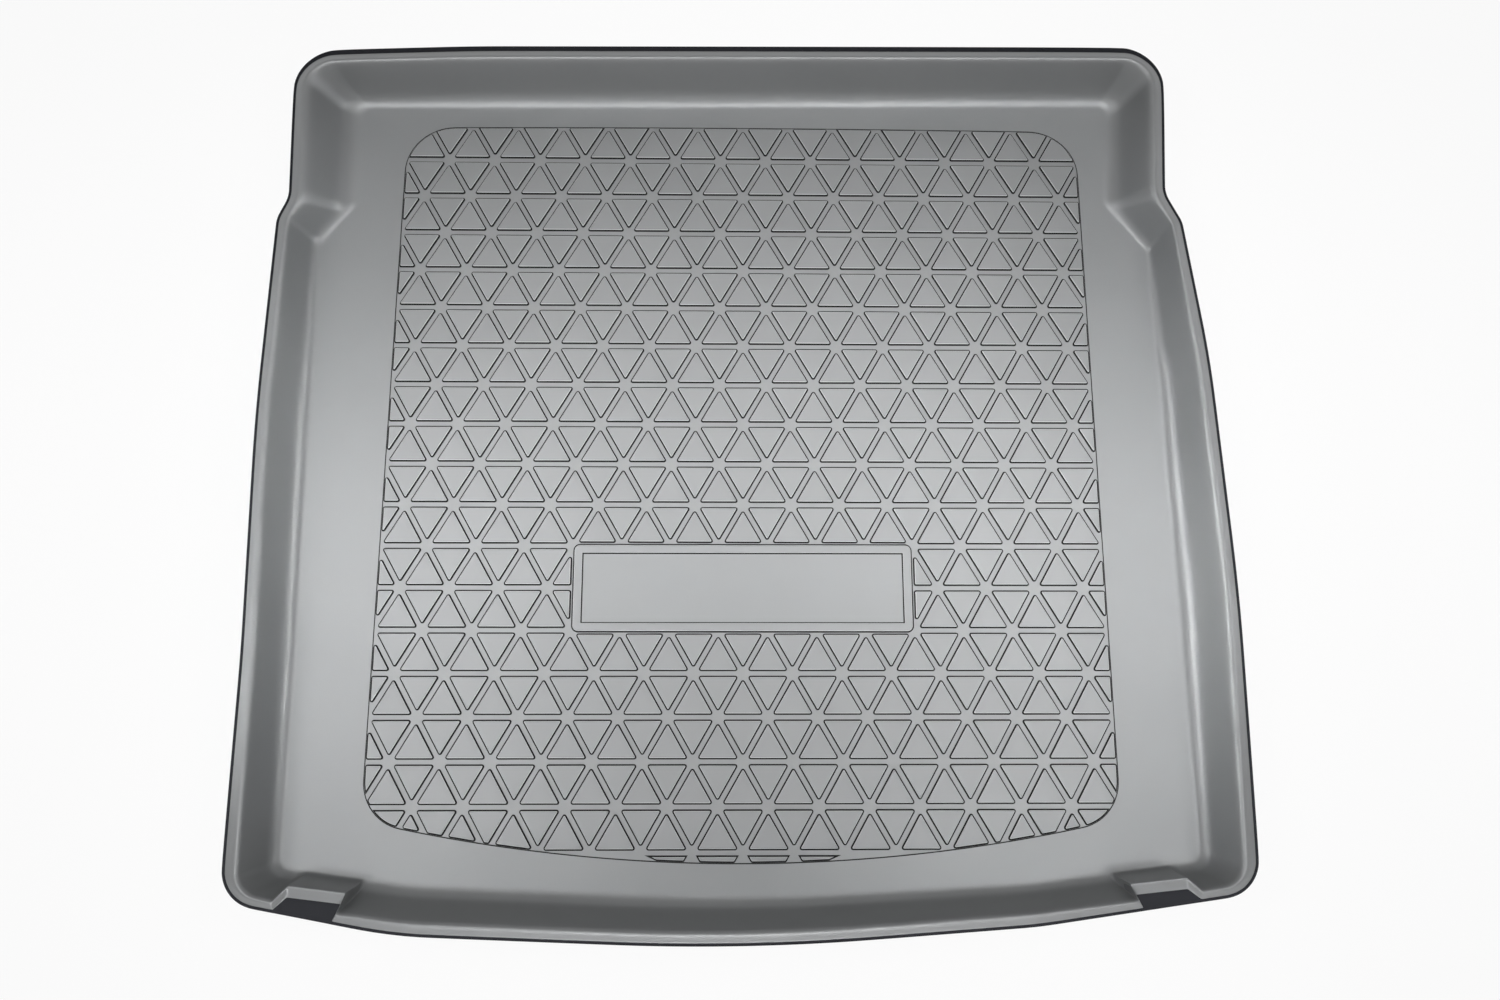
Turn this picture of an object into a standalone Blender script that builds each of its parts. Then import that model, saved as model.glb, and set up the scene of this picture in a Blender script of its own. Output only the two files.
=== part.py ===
"""Moulded boot liner mat: one grey tray with a raised rim, a field of triangular
studs on its floor, a framed plate field and two notches in the front rim.

Units are metres, +Z is up, +Y points to the back of the boot and +X to the right.
The origin lies in the middle of the mat's footprint, on the ground it rests on.
"""
import math

import bmesh
import bpy
from mathutils import Vector
from mathutils.geometry import delaunay_2d_cdt

MM = 0.001

# Overall size, measured between the outline's corners before they are rounded, and sheet
WIDTH = 988 * MM
DEPTH = 941.5 * MM
RIM_HEIGHT = 53.5 * MM
SHEET = 2.5 * MM

# Rim section: a flat trimmed hem, then a lip that climbs to the crest. The lip's width
# includes the hem and is given beside each corner: along the mat's side, and along its
# front or back
HEM_WIDTH = 2.8 * MM
BACK_HEM_WIDTH = 5.0 * MM
HEM_DROP = 6.0 * MM
FRONT_LIP = 11.5 * MM
NOTCH_LIP = 9.5 * MM
BACK_LIP = 17 * MM
SIDE_LIP = 13.5 * MM
BELLY_LIP = 10.5 * MM
FRONT_SIDE_LIP = 15.5 * MM
LIP_WIDTHS = {
    "front right": (FRONT_SIDE_LIP, NOTCH_LIP),
    "belly right": (BELLY_LIP, BELLY_LIP),
    "knee right": (SIDE_LIP, SIDE_LIP),
    "shoulder right": (SIDE_LIP, SIDE_LIP),
    "neck right": (SIDE_LIP, SIDE_LIP),
    "back right": (SIDE_LIP, BACK_LIP),
    "back bend": (BACK_LIP, BACK_LIP),
    "back left": (SIDE_LIP, BACK_LIP),
    "neck left": (SIDE_LIP, SIDE_LIP),
    "shoulder left": (SIDE_LIP, SIDE_LIP),
    "belly left": (BELLY_LIP, BELLY_LIP),
    "waist left": (SIDE_LIP, SIDE_LIP),
    "front left": (FRONT_SIDE_LIP, NOTCH_LIP),
    "bend left": (FRONT_LIP, FRONT_LIP),
    "front middle": (FRONT_LIP, FRONT_LIP),
    "bend right": (FRONT_LIP, FRONT_LIP),
}
LIP_ROUND_RUN = 0.25
LIP_ROUND_DROP = 0.8 * MM

# Wall section from crest to foot: share of the run, share of the drop
WALL_SECTION = ((0.07, 0.026), (0.14, 0.085), (0.56, 0.78), (0.69, 0.90), (0.84, 0.972), (1.0, 1.0))

# Rim outline: how far its corners lie inside the overall box. A bend's distance is from
# the box's side
FRONT_CORNER_RADIUS = 38 * MM
FRONT_RIGHT_INSET = 5.3 * MM
FRONT_RIGHT_RISE = 49 * MM
FRONT_LEFT_INSET = 8.5 * MM
FRONT_LEFT_RISE = 43.5 * MM
FRONT_BEND_RIGHT = 218 * MM
FRONT_BEND_RIGHT_RISE = 19.4 * MM
FRONT_BEND_LEFT = 171 * MM
FRONT_BEND_LEFT_RISE = 13.2 * MM
FRONT_BEND_RADIUS = 500 * MM
BACK_CORNER_RADIUS = 48 * MM
BACK_RIGHT_INSET = 28 * MM
BACK_LEFT_INSET = 6 * MM
BACK_LEFT_DROP = 13.3 * MM
BACK_BEND_LEFT = 204 * MM
BACK_BEND_DROP = 5.9 * MM
NECK_RIGHT_INSET = 40.5 * MM
NECK_RIGHT_LENGTH = 176 * MM
NECK_LEFT_INSET = 14 * MM
NECK_LEFT_LENGTH = 186.5 * MM
SHOULDER_RADIUS = 36 * MM
SHOULDER_RIGHT_INSET = 24.5 * MM
SHOULDER_RIGHT_RUN = 33 * MM
SHOULDER_LEFT_INSET = 3.2 * MM
SHOULDER_LEFT_RUN = 25 * MM
KNEE_RIGHT_INSET = 8 * MM
KNEE_RIGHT_DEPTH = 362.5 * MM
KNEE_RADIUS = 1200 * MM
BELLY_RIGHT_DEPTH = 609.5 * MM
BELLY_LEFT_DEPTH = 427.5 * MM
WAIST_LEFT_INSET = 7.6 * MM
WAIST_LEFT_DEPTH = 667.5 * MM
BOW_RADIUS = 2400 * MM

# Foot of the wall: how far each of its corners lies from the rim's corner, towards the
# middle of the mat and towards the back
FOOT_RADIUS = 15 * MM
FOOT_OFFSETS = {
    "front right": (38 * MM, 30 * MM),
    "belly right": (46 * MM, 0.0),
    "knee right": (38.5 * MM, 0.0),
    "shoulder right": (23 * MM, -13 * MM),
    "neck right": (52 * MM, 11 * MM),
    "back right": (51 * MM, -50.5 * MM),
    "back bend": (0.0, -53 * MM),
    "back left": (61 * MM, -46 * MM),
    "neck left": (56.5 * MM, 13.5 * MM),
    "shoulder left": (31 * MM, -5 * MM),
    "belly left": (40 * MM, 0.0),
    "waist left": (36.5 * MM, 0.0),
    "front left": (37 * MM, 31.5 * MM),
    "bend left": (0.0, 44.8 * MM),
    "front middle": (0.0, 43.5 * MM),
    "bend right": (0.0, 38 * MM),
}

# Notches in the front rim: distance of the outer end from the side of the overall box,
# depth at the outer and at the inner end
LEFT_NOTCH = (59 * MM, 27 * MM, 30.5 * MM)
RIGHT_NOTCH = (63 * MM, 24.5 * MM, 26.5 * MM)
NOTCH_MOUTH = 60 * MM
NOTCH_SLANT = 14.5 * MM
NOTCH_BACK = 53.5 * MM
NOTCH_BACK_LIP = 10.5 * MM
NOTCH_SIDE_LIP = 5 * MM
NOTCH_FOOT_SWELL = 0.5 * MM

# Stud panel on the floor
PANEL_SIDE_MARGIN = 120 * MM
PANEL_SHIFT = 1 * MM
PANEL_FRONT_MARGIN = 73 * MM
PANEL_BACK_MARGIN = 76.5 * MM
PANEL_FRONT_BOW = 1700 * MM
PANEL_BACK_BOW = 30000 * MM
PANEL_FRONT_CORNER = 48 * MM
PANEL_BACK_CORNER = 54 * MM
PANEL_STEP = 0.7 * MM
PANEL_STEP_RUN = 0.6 * MM

# Triangular studs, in rows that start a little behind the panel's front edge
STUD_PITCH = 50 * MM
STUD_ROW = 43.475 * MM
STUD_HEIGHT = 2.0 * MM
STUD_DRAFT = 0.9 * MM
GROOVE = 4.8 * MM
EDGE_GAP = 0.5 * MM
FIRST_ROW = 10.8 * MM
SLIMMEST_STUD = 2.5 * MM

# Framed plate field among the studs
PLATE_ROW = 6
PLATE_WIDTH = 349 * MM
PLATE_HEIGHT = 91.5 * MM
PLATE_FRAME = 9.2 * MM
PLATE_CORNER = 7 * MM
PLATE_GAP = 0.9 * MM

# No arc takes more than this share of a side of its outline
ARC_SHARE = 0.45

# Steps in each arc
CORNER_STEPS = 7
SHOULDER_STEPS = 4
BOW_STEPS = 3
PANEL_CORNER_STEPS = 8
PANEL_BOW_STEPS = 14
PLATE_CORNER_STEPS = 4

# Rings of the upper face that the underside repeats
UNDERSIDE_RINGS = (0, 1, 3, 5, 6, 9)

# Points closer than this count as one when a face is filled
SAME_POINT = 1e-9

HALF_W = WIDTH / 2
FRONT = -DEPTH / 2
BACK = DEPTH / 2
HEM_Z = RIM_HEIGHT - HEM_DROP
FLOOR_Z = SHEET
PANEL_Z = FLOOR_Z + PANEL_STEP
STUD_Z = PANEL_Z + STUD_HEIGHT


def rim_nodes():
    """Corners of the rim outline, counter-clockwise from the front right:
    name, x, y, radius, steps."""
    right, left = HALF_W, -HALF_W
    neck_right_y = BACK - NECK_RIGHT_LENGTH
    neck_left_y = BACK - NECK_LEFT_LENGTH
    front_radius, back_radius, shoulder = FRONT_CORNER_RADIUS, BACK_CORNER_RADIUS, SHOULDER_RADIUS
    corner, turn, bow = CORNER_STEPS, SHOULDER_STEPS, BOW_STEPS
    return [
        ("front right", right - FRONT_RIGHT_INSET, FRONT + FRONT_RIGHT_RISE, front_radius, corner),
        ("belly right", right, BACK - BELLY_RIGHT_DEPTH, BOW_RADIUS, bow),
        ("knee right", right - KNEE_RIGHT_INSET, BACK - KNEE_RIGHT_DEPTH, KNEE_RADIUS, bow),
        ("shoulder right", right - SHOULDER_RIGHT_INSET, neck_right_y - SHOULDER_RIGHT_RUN, shoulder, turn),
        ("neck right", right - NECK_RIGHT_INSET, neck_right_y, shoulder, turn),
        ("back right", right - BACK_RIGHT_INSET, BACK, back_radius, corner),
        ("back bend", left + BACK_BEND_LEFT, BACK - BACK_BEND_DROP, BOW_RADIUS, bow),
        ("back left", left + BACK_LEFT_INSET, BACK - BACK_LEFT_DROP, back_radius, corner),
        ("neck left", left + NECK_LEFT_INSET, neck_left_y, shoulder, turn),
        ("shoulder left", left + SHOULDER_LEFT_INSET, neck_left_y - SHOULDER_LEFT_RUN, shoulder, turn),
        ("belly left", left, BACK - BELLY_LEFT_DEPTH, BOW_RADIUS, bow),
        ("waist left", left + WAIST_LEFT_INSET, BACK - WAIST_LEFT_DEPTH, BOW_RADIUS, bow),
        ("front left", left + FRONT_LEFT_INSET, FRONT + FRONT_LEFT_RISE, front_radius, corner),
        ("bend left", left + FRONT_BEND_LEFT, FRONT + FRONT_BEND_LEFT_RISE, FRONT_BEND_RADIUS, bow),
        ("front middle", 0.0, FRONT, BOW_RADIUS, bow),
        ("bend right", right - FRONT_BEND_RIGHT, FRONT + FRONT_BEND_RIGHT_RISE, FRONT_BEND_RADIUS, bow),
    ]


def foot_nodes(rim):
    """Corners of the wall's foot, each set inwards from the rim corner it belongs to."""
    nodes = []
    for name, x, y, radius, steps in rim:
        inwards, backwards = FOOT_OFFSETS[name]
        foot_radius = radius if steps == BOW_STEPS else FOOT_RADIUS
        nodes.append((name, x - math.copysign(inwards, x), y + backwards, foot_radius, steps))
    return nodes


def offset_nodes(nodes, widths):
    """The same corners on an outline inside the first. Each corner has two widths for
    the strip between them: along the mat's side, and along its front or back."""
    moved = []
    count = len(nodes)
    for i, (name, x, y, radius, steps) in enumerate(nodes):
        here = Vector((x, y))
        before = (here - Vector(nodes[i - 1][1:3])).normalized()
        after = (Vector(nodes[(i + 1) % count][1:3]) - here).normalized()
        a, b = Vector((-before.y, before.x)), Vector((-after.y, after.x))
        width_a, width_b = (widths[name][abs(normal.x) < abs(normal.y)] for normal in (a, b))
        turn = a.cross(b)
        push = a * width_a
        if abs(turn) > SAME_POINT:
            push = Vector((width_a * b.y - width_b * a.y, width_b * a.x - width_a * b.x)) / turn
        inset = math.copysign((width_a + width_b) / 2, turn)
        moved.append((name, x + push.x, y + push.y, radius - inset, steps))
    return moved


def hem_widths():
    """Widths of the hem beside each corner, as for the lip."""
    return {name: (HEM_WIDTH, BACK_HEM_WIDTH if name.startswith("back") else HEM_WIDTH)
            for name in LIP_WIDTHS}


def rounded(nodes):
    """Points of an outline whose corners are arcs, with the same count for equal steps."""
    points = []
    count = len(nodes)
    for i, (name, x, y, radius, steps) in enumerate(nodes):
        here = Vector((x, y))
        to_last = Vector(nodes[i - 1][1:3]) - here
        to_next = Vector(nodes[(i + 1) % count][1:3]) - here
        heading = math.atan2(-to_last.y, -to_last.x)
        turn = math.atan2(-to_last.cross(to_next), -to_last.dot(to_next))
        bend = math.tan(abs(turn) / 2)
        run = min(radius * bend, ARC_SHARE * to_last.length, ARC_SHARE * to_next.length)
        arc_radius = math.copysign(run / bend, turn)
        start = here + to_last.normalized() * run
        centre = start + arc_radius * Vector((-math.sin(heading), math.cos(heading)))
        for k in range(steps + 1):
            angle = heading + turn * k / steps
            ray = Vector((math.sin(angle), -math.cos(angle)))
            points.append((name, centre + arc_radius * ray))
    return points


def on_line(nodes, first, second, x, inset=0.0):
    """The point at x on the straight line between two corners, moved back by inset."""
    place = {name: (px, py) for name, px, py, radius, steps in nodes}
    (xa, ya), (xb, yb) = place[first], place[second]
    return Vector((x, ya + (yb - ya) * (x - xa) / (xb - xa) + inset))


def notch_stations(side, rim, foot):
    """The four stations of one notch as [edge, hem, crest, foot] points, from its
    outer end to its inner end."""
    first, second = ("front left", "bend left") if side < 0 else ("bend right", "front right")
    from_side, outer_depth, inner_depth = LEFT_NOTCH if side < 0 else RIGHT_NOTCH
    outer = HALF_W - from_side
    back_outer = outer - NOTCH_SLANT
    back_inner = back_outer - NOTCH_BACK
    inner = outer - NOTCH_MOUTH
    lip = NOTCH_SIDE_LIP
    outer_ledge = outer_depth - NOTCH_BACK_LIP
    inner_ledge = inner_depth - NOTCH_BACK_LIP
    crest = NOTCH_LIP
    swell = NOTCH_FOOT_SWELL
    ring = []
    for crest_x, hem_x, edge_x, foot_x, crest_in, hem_in, foot_in in (
        (outer, outer, outer, outer - lip, crest, HEM_WIDTH, swell / 2),
        (back_outer, back_outer + lip / 2, back_outer, back_outer, outer_depth, outer_ledge, swell),
        (back_inner, back_inner + lip, inner + 2 * lip, back_inner, inner_depth, inner_ledge, swell),
        (inner, inner + lip, inner + lip, back_inner - lip, crest, HEM_WIDTH, swell / 2),
    ):
        ring.append([
            on_line(rim, first, second, side * edge_x),
            on_line(rim, first, second, side * hem_x, hem_in),
            on_line(rim, first, second, side * crest_x, crest_in),
            on_line(foot, first, second, side * foot_x, foot_in),
        ])
    return ring


def stations():
    """All stations around the rim, counter-clockwise: edge, hem, crest and foot points."""
    rim = rim_nodes()
    foot = foot_nodes(rim)
    hem = offset_nodes(rim, hem_widths())
    crest = offset_nodes(rim, LIP_WIDTHS)
    rows = list(zip(rounded(rim), rounded(hem), rounded(crest), rounded(foot)))
    ring = []
    for i, row in enumerate(rows):
        name = row[0][0]
        following = rows[(i + 1) % len(rows)][0][0]
        ring.append([point for label, point in row])
        if name == "front left" and following == "bend left":
            ring.extend(notch_stations(-1, rim, foot))
        if name == "bend right" and following == "front right":
            ring.extend(reversed(notch_stations(1, rim, foot)))
    return ring


def top_rings(ring):
    """Rings of the mat's upper face, from the outer edge down to the floor."""
    wall = RIM_HEIGHT - FLOOR_Z
    lip_top = RIM_HEIGHT - LIP_ROUND_DROP
    levels = [
        [Vector((*edge, HEM_Z)) for edge, hem, crest, foot in ring],
        [Vector((*hem, HEM_Z)) for edge, hem, crest, foot in ring],
        [Vector((*crest.lerp(hem, LIP_ROUND_RUN), lip_top)) for edge, hem, crest, foot in ring],
        [Vector((*crest, RIM_HEIGHT)) for edge, hem, crest, foot in ring],
    ]
    for run, drop in WALL_SECTION:
        z = RIM_HEIGHT - wall * drop
        levels.append([Vector((*crest.lerp(foot, run), z)) for edge, hem, crest, foot in ring])
    return levels


def under_rings(levels):
    """Rings of the underside, one sheet thickness below the upper face."""
    below = []
    last = len(levels) - 1
    for k, level in enumerate(levels):
        ring = []
        for i, point in enumerate(level):
            along = level[(i + 1) % len(level)] - level[i - 1]
            inner = levels[min(k + 1, last)][i] - point
            outer = point - levels[max(k - 1, 0)][i]
            if k == last or k == 0:
                normal = Vector((0, 0, 1))
            else:
                normal = (along.cross(inner).normalized() + along.cross(outer).normalized()).normalized()
                normal = -normal if normal.z < 0 else normal
            ring.append(point - normal * SHEET)
        below.append(ring)
    return below


def panel_outline(inset):
    """The panel's edge: straight sides, bowed front and back, four round corners."""
    half = HALF_W - PANEL_SIDE_MARGIN
    front = FRONT + PANEL_FRONT_MARGIN
    back = BACK - PANEL_BACK_MARGIN
    points = []
    bow = {
        -1: (PANEL_FRONT_BOW - inset, front + PANEL_FRONT_BOW, PANEL_FRONT_CORNER - inset),
        1: (PANEL_BACK_BOW - inset, back - PANEL_BACK_BOW, PANEL_BACK_CORNER - inset),
    }
    side_x = half - inset
    for end in (-1, 1):
        radius, centre_y, corner = bow[end]
        reach = math.sqrt((radius - corner) ** 2 - (side_x - corner) ** 2)
        corner_y = centre_y + end * reach
        lean = math.atan2(side_x - corner, reach)
        turn = math.pi / 2 - lean
        bow_arc = [(radius * math.sin(lean * share), centre_y + end * radius * math.cos(lean * share))
                   for share in (1 - 2 * k / PANEL_BOW_STEPS for k in range(PANEL_BOW_STEPS + 1))]
        corner_arc = [(side_x - corner + corner * math.cos(turn * k / PANEL_CORNER_STEPS),
                       corner_y + end * corner * math.sin(turn * k / PANEL_CORNER_STEPS))
                      for k in range(PANEL_CORNER_STEPS)]
        mirrored = [(-x, y) for x, y in reversed(corner_arc)]
        whole = corner_arc + bow_arc + mirrored
        points.extend(whole if end > 0 else reversed(whole))
    return [Vector((x + PANEL_SHIFT, y)) for x, y in points]


def clip(polygon, start, end):
    """The part of a convex polygon that lies left of the line from start to end."""
    along = (end - start).normalized()
    normal = Vector((-along.y, along.x))
    heights = [(point - start).dot(normal) for point in polygon]
    kept = []
    for i, point in enumerate(polygon):
        height, last_height = heights[i], heights[i - 1]
        if (height >= 0) != (last_height >= 0):
            kept.append(polygon[i - 1].lerp(point, last_height / (last_height - height)))
        if height >= 0:
            kept.append(point)
    return kept


def area(polygon):
    """Area of a polygon, which is nothing below three corners."""
    return sum(polygon[i - 1].cross(point) for i, point in enumerate(polygon)) / 2


def beyond_box(polygon, box):
    """The largest part of a convex polygon that lies beyond one side of a box."""
    return max((clip(polygon, box[i], box[i - 1]) for i in range(len(box))), key=area)


def inset_polygon(polygon, inset):
    """A convex polygon with every side moved inwards, corner for corner."""
    moved = []
    count = len(polygon)
    for i, here in enumerate(polygon):
        before = (here - polygon[i - 1]).normalized()
        after = (polygon[(i + 1) % count] - here).normalized()
        normal_a = Vector((-before.y, before.x))
        normal_b = Vector((-after.y, after.x))
        moved.append(here + (normal_a + normal_b) * (inset / (1 + normal_a.dot(normal_b))))
    return moved


def without_short_sides(polygon, shortest):
    """A polygon without corners that lie closer than shortest to the one before."""
    kept = []
    for point in polygon:
        if not kept or (point - kept[-1]).length > shortest:
            kept.append(point)
    while len(kept) > 2 and (kept[0] - kept[-1]).length <= shortest:
        kept.pop()
    return kept


def inner_radius(polygon):
    """Twice the area over the perimeter: about the radius of the widest circle inside."""
    perimeter = sum((point - polygon[i - 1]).length for i, point in enumerate(polygon))
    return 2 * area(polygon) / perimeter


def lattice_triangles():
    """The full triangles of the stud lattice, as far as the panel reaches."""
    half = HALF_W - PANEL_SIDE_MARGIN
    front = FRONT + PANEL_FRONT_MARGIN
    rows = math.ceil((BACK - PANEL_BACK_MARGIN - front) / STUD_ROW) + 1
    columns = math.ceil(half / STUD_PITCH) + 1
    across = Vector((STUD_PITCH, 0))
    for row in range(-1, rows):
        low = front + FIRST_ROW + row * STUD_ROW
        high = low + STUD_ROW
        low_shift = 0.5 * (row % 2)
        high_shift = 0.5 - low_shift
        for column in range(-columns, columns):
            near = Vector((PANEL_SHIFT + (column + low_shift) * STUD_PITCH, low))
            far = Vector((PANEL_SHIFT + (column + high_shift) * STUD_PITCH, high))
            yield [near, near + across, Vector((near.x + STUD_PITCH / 2, high))]
            yield [far + across, far, Vector((far.x + STUD_PITCH / 2, low))]


def plate_centre():
    """Middle of the plate field, on one of the lattice's rows."""
    return Vector((PANEL_SHIFT, FRONT + PANEL_FRONT_MARGIN + FIRST_ROW + PLATE_ROW * STUD_ROW))


def box_outline(half_x, half_y, radius, steps):
    """A rectangle around the plate's centre, with round corners where radius isn't 0."""
    centre = plate_centre()
    points = []
    for sx, sy, start in ((1, -1, -90), (1, 1, 0), (-1, 1, 90), (-1, -1, 180)):
        for k in range(steps + 1):
            angle = math.radians(start + 90 * k / max(steps, 1))
            corner = Vector((sx * (half_x - radius), sy * (half_y - radius)))
            points.append(centre + corner + radius * Vector((math.cos(angle), math.sin(angle))))
    return points


def stud_bases():
    """Base outlines of all studs, cut by the panel's edge and by the plate's frame."""
    edge = panel_outline(PANEL_STEP_RUN + EDGE_GAP)
    plate = box_outline(PLATE_WIDTH / 2 + PLATE_GAP, PLATE_HEIGHT / 2 + PLATE_GAP, 0.0, 0)
    bases = []
    for triangle in lattice_triangles():
        stud = beyond_box(inset_polygon(triangle, GROOVE / 2), plate)
        for i, point in enumerate(edge):
            stud = clip(stud, edge[i - 1], point)
        stud = without_short_sides(stud, STUD_DRAFT)
        if len(stud) > 2 and inner_radius(stud) > SLIMMEST_STUD:
            bases.append(stud)
    return bases


class Body:
    """Collects points and faces of the one closed body."""

    def __init__(self):
        self.mesh = bmesh.new()

    def ring(self, points, z=None):
        return [self.mesh.verts.new((p[0], p[1], p[2] if z is None else z)) for p in points]

    def bridge(self, outer, inner):
        for i in range(len(outer)):
            self.mesh.faces.new((outer[i - 1], outer[i], inner[i], inner[i - 1]))

    def cap(self, loops, upwards=True):
        """Fill the first loop with triangles, leaving the convex loops inside it open."""
        corners = [vert for loop in loops for vert in loop]
        flat = [Vector(vert.co[:2]) for vert in corners]
        owner = [n for n, loop in enumerate(loops) for vert in loop]
        sides = []
        start = 0
        for loop in loops:
            sides.extend((start + i, start + (i + 1) % len(loop)) for i in range(len(loop)))
            start += len(loop)
        inside_only = 1
        filled = delaunay_2d_cdt(flat, sides, [], inside_only, SAME_POINT)
        faces, origins = filled[2], filled[3]
        for face in faces:
            picked = [origins[i][0] for i in face]
            owners = {owner[i] for i in picked}
            if len(owners) == 1 and owners != {0}:
                continue
            a, b, c = (flat[i] for i in picked)
            if ((b - a).cross(c - a) > 0) != upwards:
                picked.reverse()
            self.mesh.faces.new([corners[i] for i in picked])

    def centre(self):
        """Move the body so that the middle of its footprint is the origin."""
        low = [min(vert.co[axis] for vert in self.mesh.verts) for axis in (0, 1)]
        high = [max(vert.co[axis] for vert in self.mesh.verts) for axis in (0, 1)]
        shift = Vector((-(low[0] + high[0]) / 2, -(low[1] + high[1]) / 2, 0))
        bmesh.ops.translate(self.mesh, verts=self.mesh.verts, vec=shift)

    def finish(self, name, material):
        self.mesh.normal_update()
        data = bpy.data.meshes.new(name)
        self.mesh.to_mesh(data)
        self.mesh.free()
        data.materials.append(material)
        body = bpy.data.objects.new(name, data)
        bpy.context.collection.objects.link(body)
        return body


def add_tray(body):
    """Rim, walls and underside; returns the loop where the wall meets the floor."""
    levels = top_rings(stations())
    upper = [body.ring(level) for level in levels]
    below = under_rings(levels)
    lower = [body.ring(below[k]) for k in UNDERSIDE_RINGS]
    for outer, inner in zip(upper, upper[1:]):
        body.bridge(outer, inner)
    for outer, inner in zip(lower, lower[1:]):
        body.bridge(inner, outer)
    body.bridge(lower[0], upper[0])
    body.cap([lower[-1]], upwards=False)
    return upper[-1]


def add_floor(body, foot):
    """Floor with its stud panel and plate frame."""
    step_low = body.ring(panel_outline(0.0), FLOOR_Z)
    step_high = body.ring(panel_outline(PANEL_STEP_RUN), PANEL_Z)
    body.cap([foot, step_low])
    body.bridge(step_low, step_high)
    studs = []
    for base in stud_bases():
        low = body.ring(base, PANEL_Z)
        high = body.ring(inset_polygon(base, STUD_DRAFT), STUD_Z)
        body.bridge(low, high)
        body.mesh.faces.new(high)
        studs.append(low)
    body.cap([step_high, add_plate(body), *studs])


def add_plate(body):
    """Raised frame around a sunken field; returns the loop at the frame's base."""
    half_x, half_y = PLATE_WIDTH / 2, PLATE_HEIGHT / 2
    field_x, field_y = half_x - PLATE_FRAME, half_y - PLATE_FRAME
    draft, corner, steps = STUD_DRAFT, PLATE_CORNER, PLATE_CORNER_STEPS
    outer_low = body.ring(box_outline(half_x, half_y, corner, steps), PANEL_Z)
    outer_high = body.ring(box_outline(half_x - draft, half_y - draft, corner - draft, steps), STUD_Z)
    inner_high = body.ring(box_outline(field_x, field_y, 0.0, 0), STUD_Z)
    inner_low = body.ring(box_outline(field_x - draft, field_y - draft, 0.0, 0), PANEL_Z)
    body.bridge(outer_low, outer_high)
    body.cap([outer_high, inner_high])
    body.bridge(inner_high, inner_low)
    body.mesh.faces.new(inner_low)
    return outer_low


def rubber_grey():
    material = bpy.data.materials.new("moulded grey")
    material.use_nodes = True
    shader = material.node_tree.nodes["Principled BSDF"]
    shader.inputs["Base Color"].default_value = (0.26, 0.27, 0.27, 1.0)
    shader.inputs["Roughness"].default_value = 0.5
    shader.inputs["Metallic"].default_value = 0.0
    return material


def clear_scene():
    for item in list(bpy.data.objects):
        bpy.data.objects.remove(item, do_unlink=True)


def build():
    clear_scene()
    body = Body()
    foot = add_tray(body)
    add_floor(body, foot)
    body.centre()
    body.finish("boot_liner", rubber_grey())


build()
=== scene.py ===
"""Moulded boot liner mat: one grained grey rubber tray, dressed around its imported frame.

Units are metres, +Z is up, +Y points to the back of the boot and +X to the right.
"""
import math

import bmesh
import bpy
from mathutils import Euler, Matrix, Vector
from mathutils.geometry import delaunay_2d_cdt


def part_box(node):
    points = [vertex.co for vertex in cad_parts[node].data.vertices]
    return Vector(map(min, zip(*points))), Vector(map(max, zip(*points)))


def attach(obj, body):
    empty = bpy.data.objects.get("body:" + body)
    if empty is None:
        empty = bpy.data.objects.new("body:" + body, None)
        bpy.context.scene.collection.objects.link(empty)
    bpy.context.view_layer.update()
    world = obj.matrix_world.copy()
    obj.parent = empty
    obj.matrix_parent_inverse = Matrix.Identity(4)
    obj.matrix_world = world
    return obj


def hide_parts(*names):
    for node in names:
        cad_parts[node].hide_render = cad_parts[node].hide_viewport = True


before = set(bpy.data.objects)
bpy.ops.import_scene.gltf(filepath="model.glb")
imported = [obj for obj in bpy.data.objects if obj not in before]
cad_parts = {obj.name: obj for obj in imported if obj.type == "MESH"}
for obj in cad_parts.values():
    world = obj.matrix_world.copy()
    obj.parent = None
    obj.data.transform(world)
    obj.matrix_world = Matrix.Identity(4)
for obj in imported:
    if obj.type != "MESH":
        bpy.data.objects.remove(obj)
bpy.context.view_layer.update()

MM = 0.001

# Overall size between the outline's corners before they are rounded, and sheet
WIDTH = 988 * MM
DEPTH = 941.5 * MM
RIM_HEIGHT = 53.5 * MM
SHEET = 2.5 * MM

# Rim section: a flat trimmed hem, then a lip that climbs to the crest. Widths are given
# along the mat's side, and along its front or back
HEM_WIDTH = 2.8 * MM
BACK_HEM_WIDTH = 6.2 * MM
HEM_DROP = 6.0 * MM
FRONT_LIP = 11.5 * MM
NOTCH_LIP = 9.5 * MM
BACK_LIP = 17 * MM
SIDE_LIP = 13.5 * MM
BELLY_LIP = 10.5 * MM
FRONT_SIDE_LIP = 15.5 * MM
LIP_WIDTHS = {
    "front right": (FRONT_SIDE_LIP, NOTCH_LIP),
    "belly right": (BELLY_LIP, BELLY_LIP),
    "knee right": (SIDE_LIP, SIDE_LIP),
    "shoulder right": (SIDE_LIP, SIDE_LIP),
    "neck right": (SIDE_LIP, SIDE_LIP),
    "back right": (SIDE_LIP, BACK_LIP),
    "back bend": (BACK_LIP, BACK_LIP),
    "back left": (SIDE_LIP, BACK_LIP),
    "neck left": (SIDE_LIP, SIDE_LIP),
    "shoulder left": (SIDE_LIP, SIDE_LIP),
    "belly left": (BELLY_LIP, BELLY_LIP),
    "waist left": (SIDE_LIP, SIDE_LIP),
    "front left": (FRONT_SIDE_LIP, NOTCH_LIP),
    "bend left": (FRONT_LIP, FRONT_LIP),
    "front middle": (FRONT_LIP, FRONT_LIP),
    "bend right": (FRONT_LIP, FRONT_LIP),
}

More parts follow.
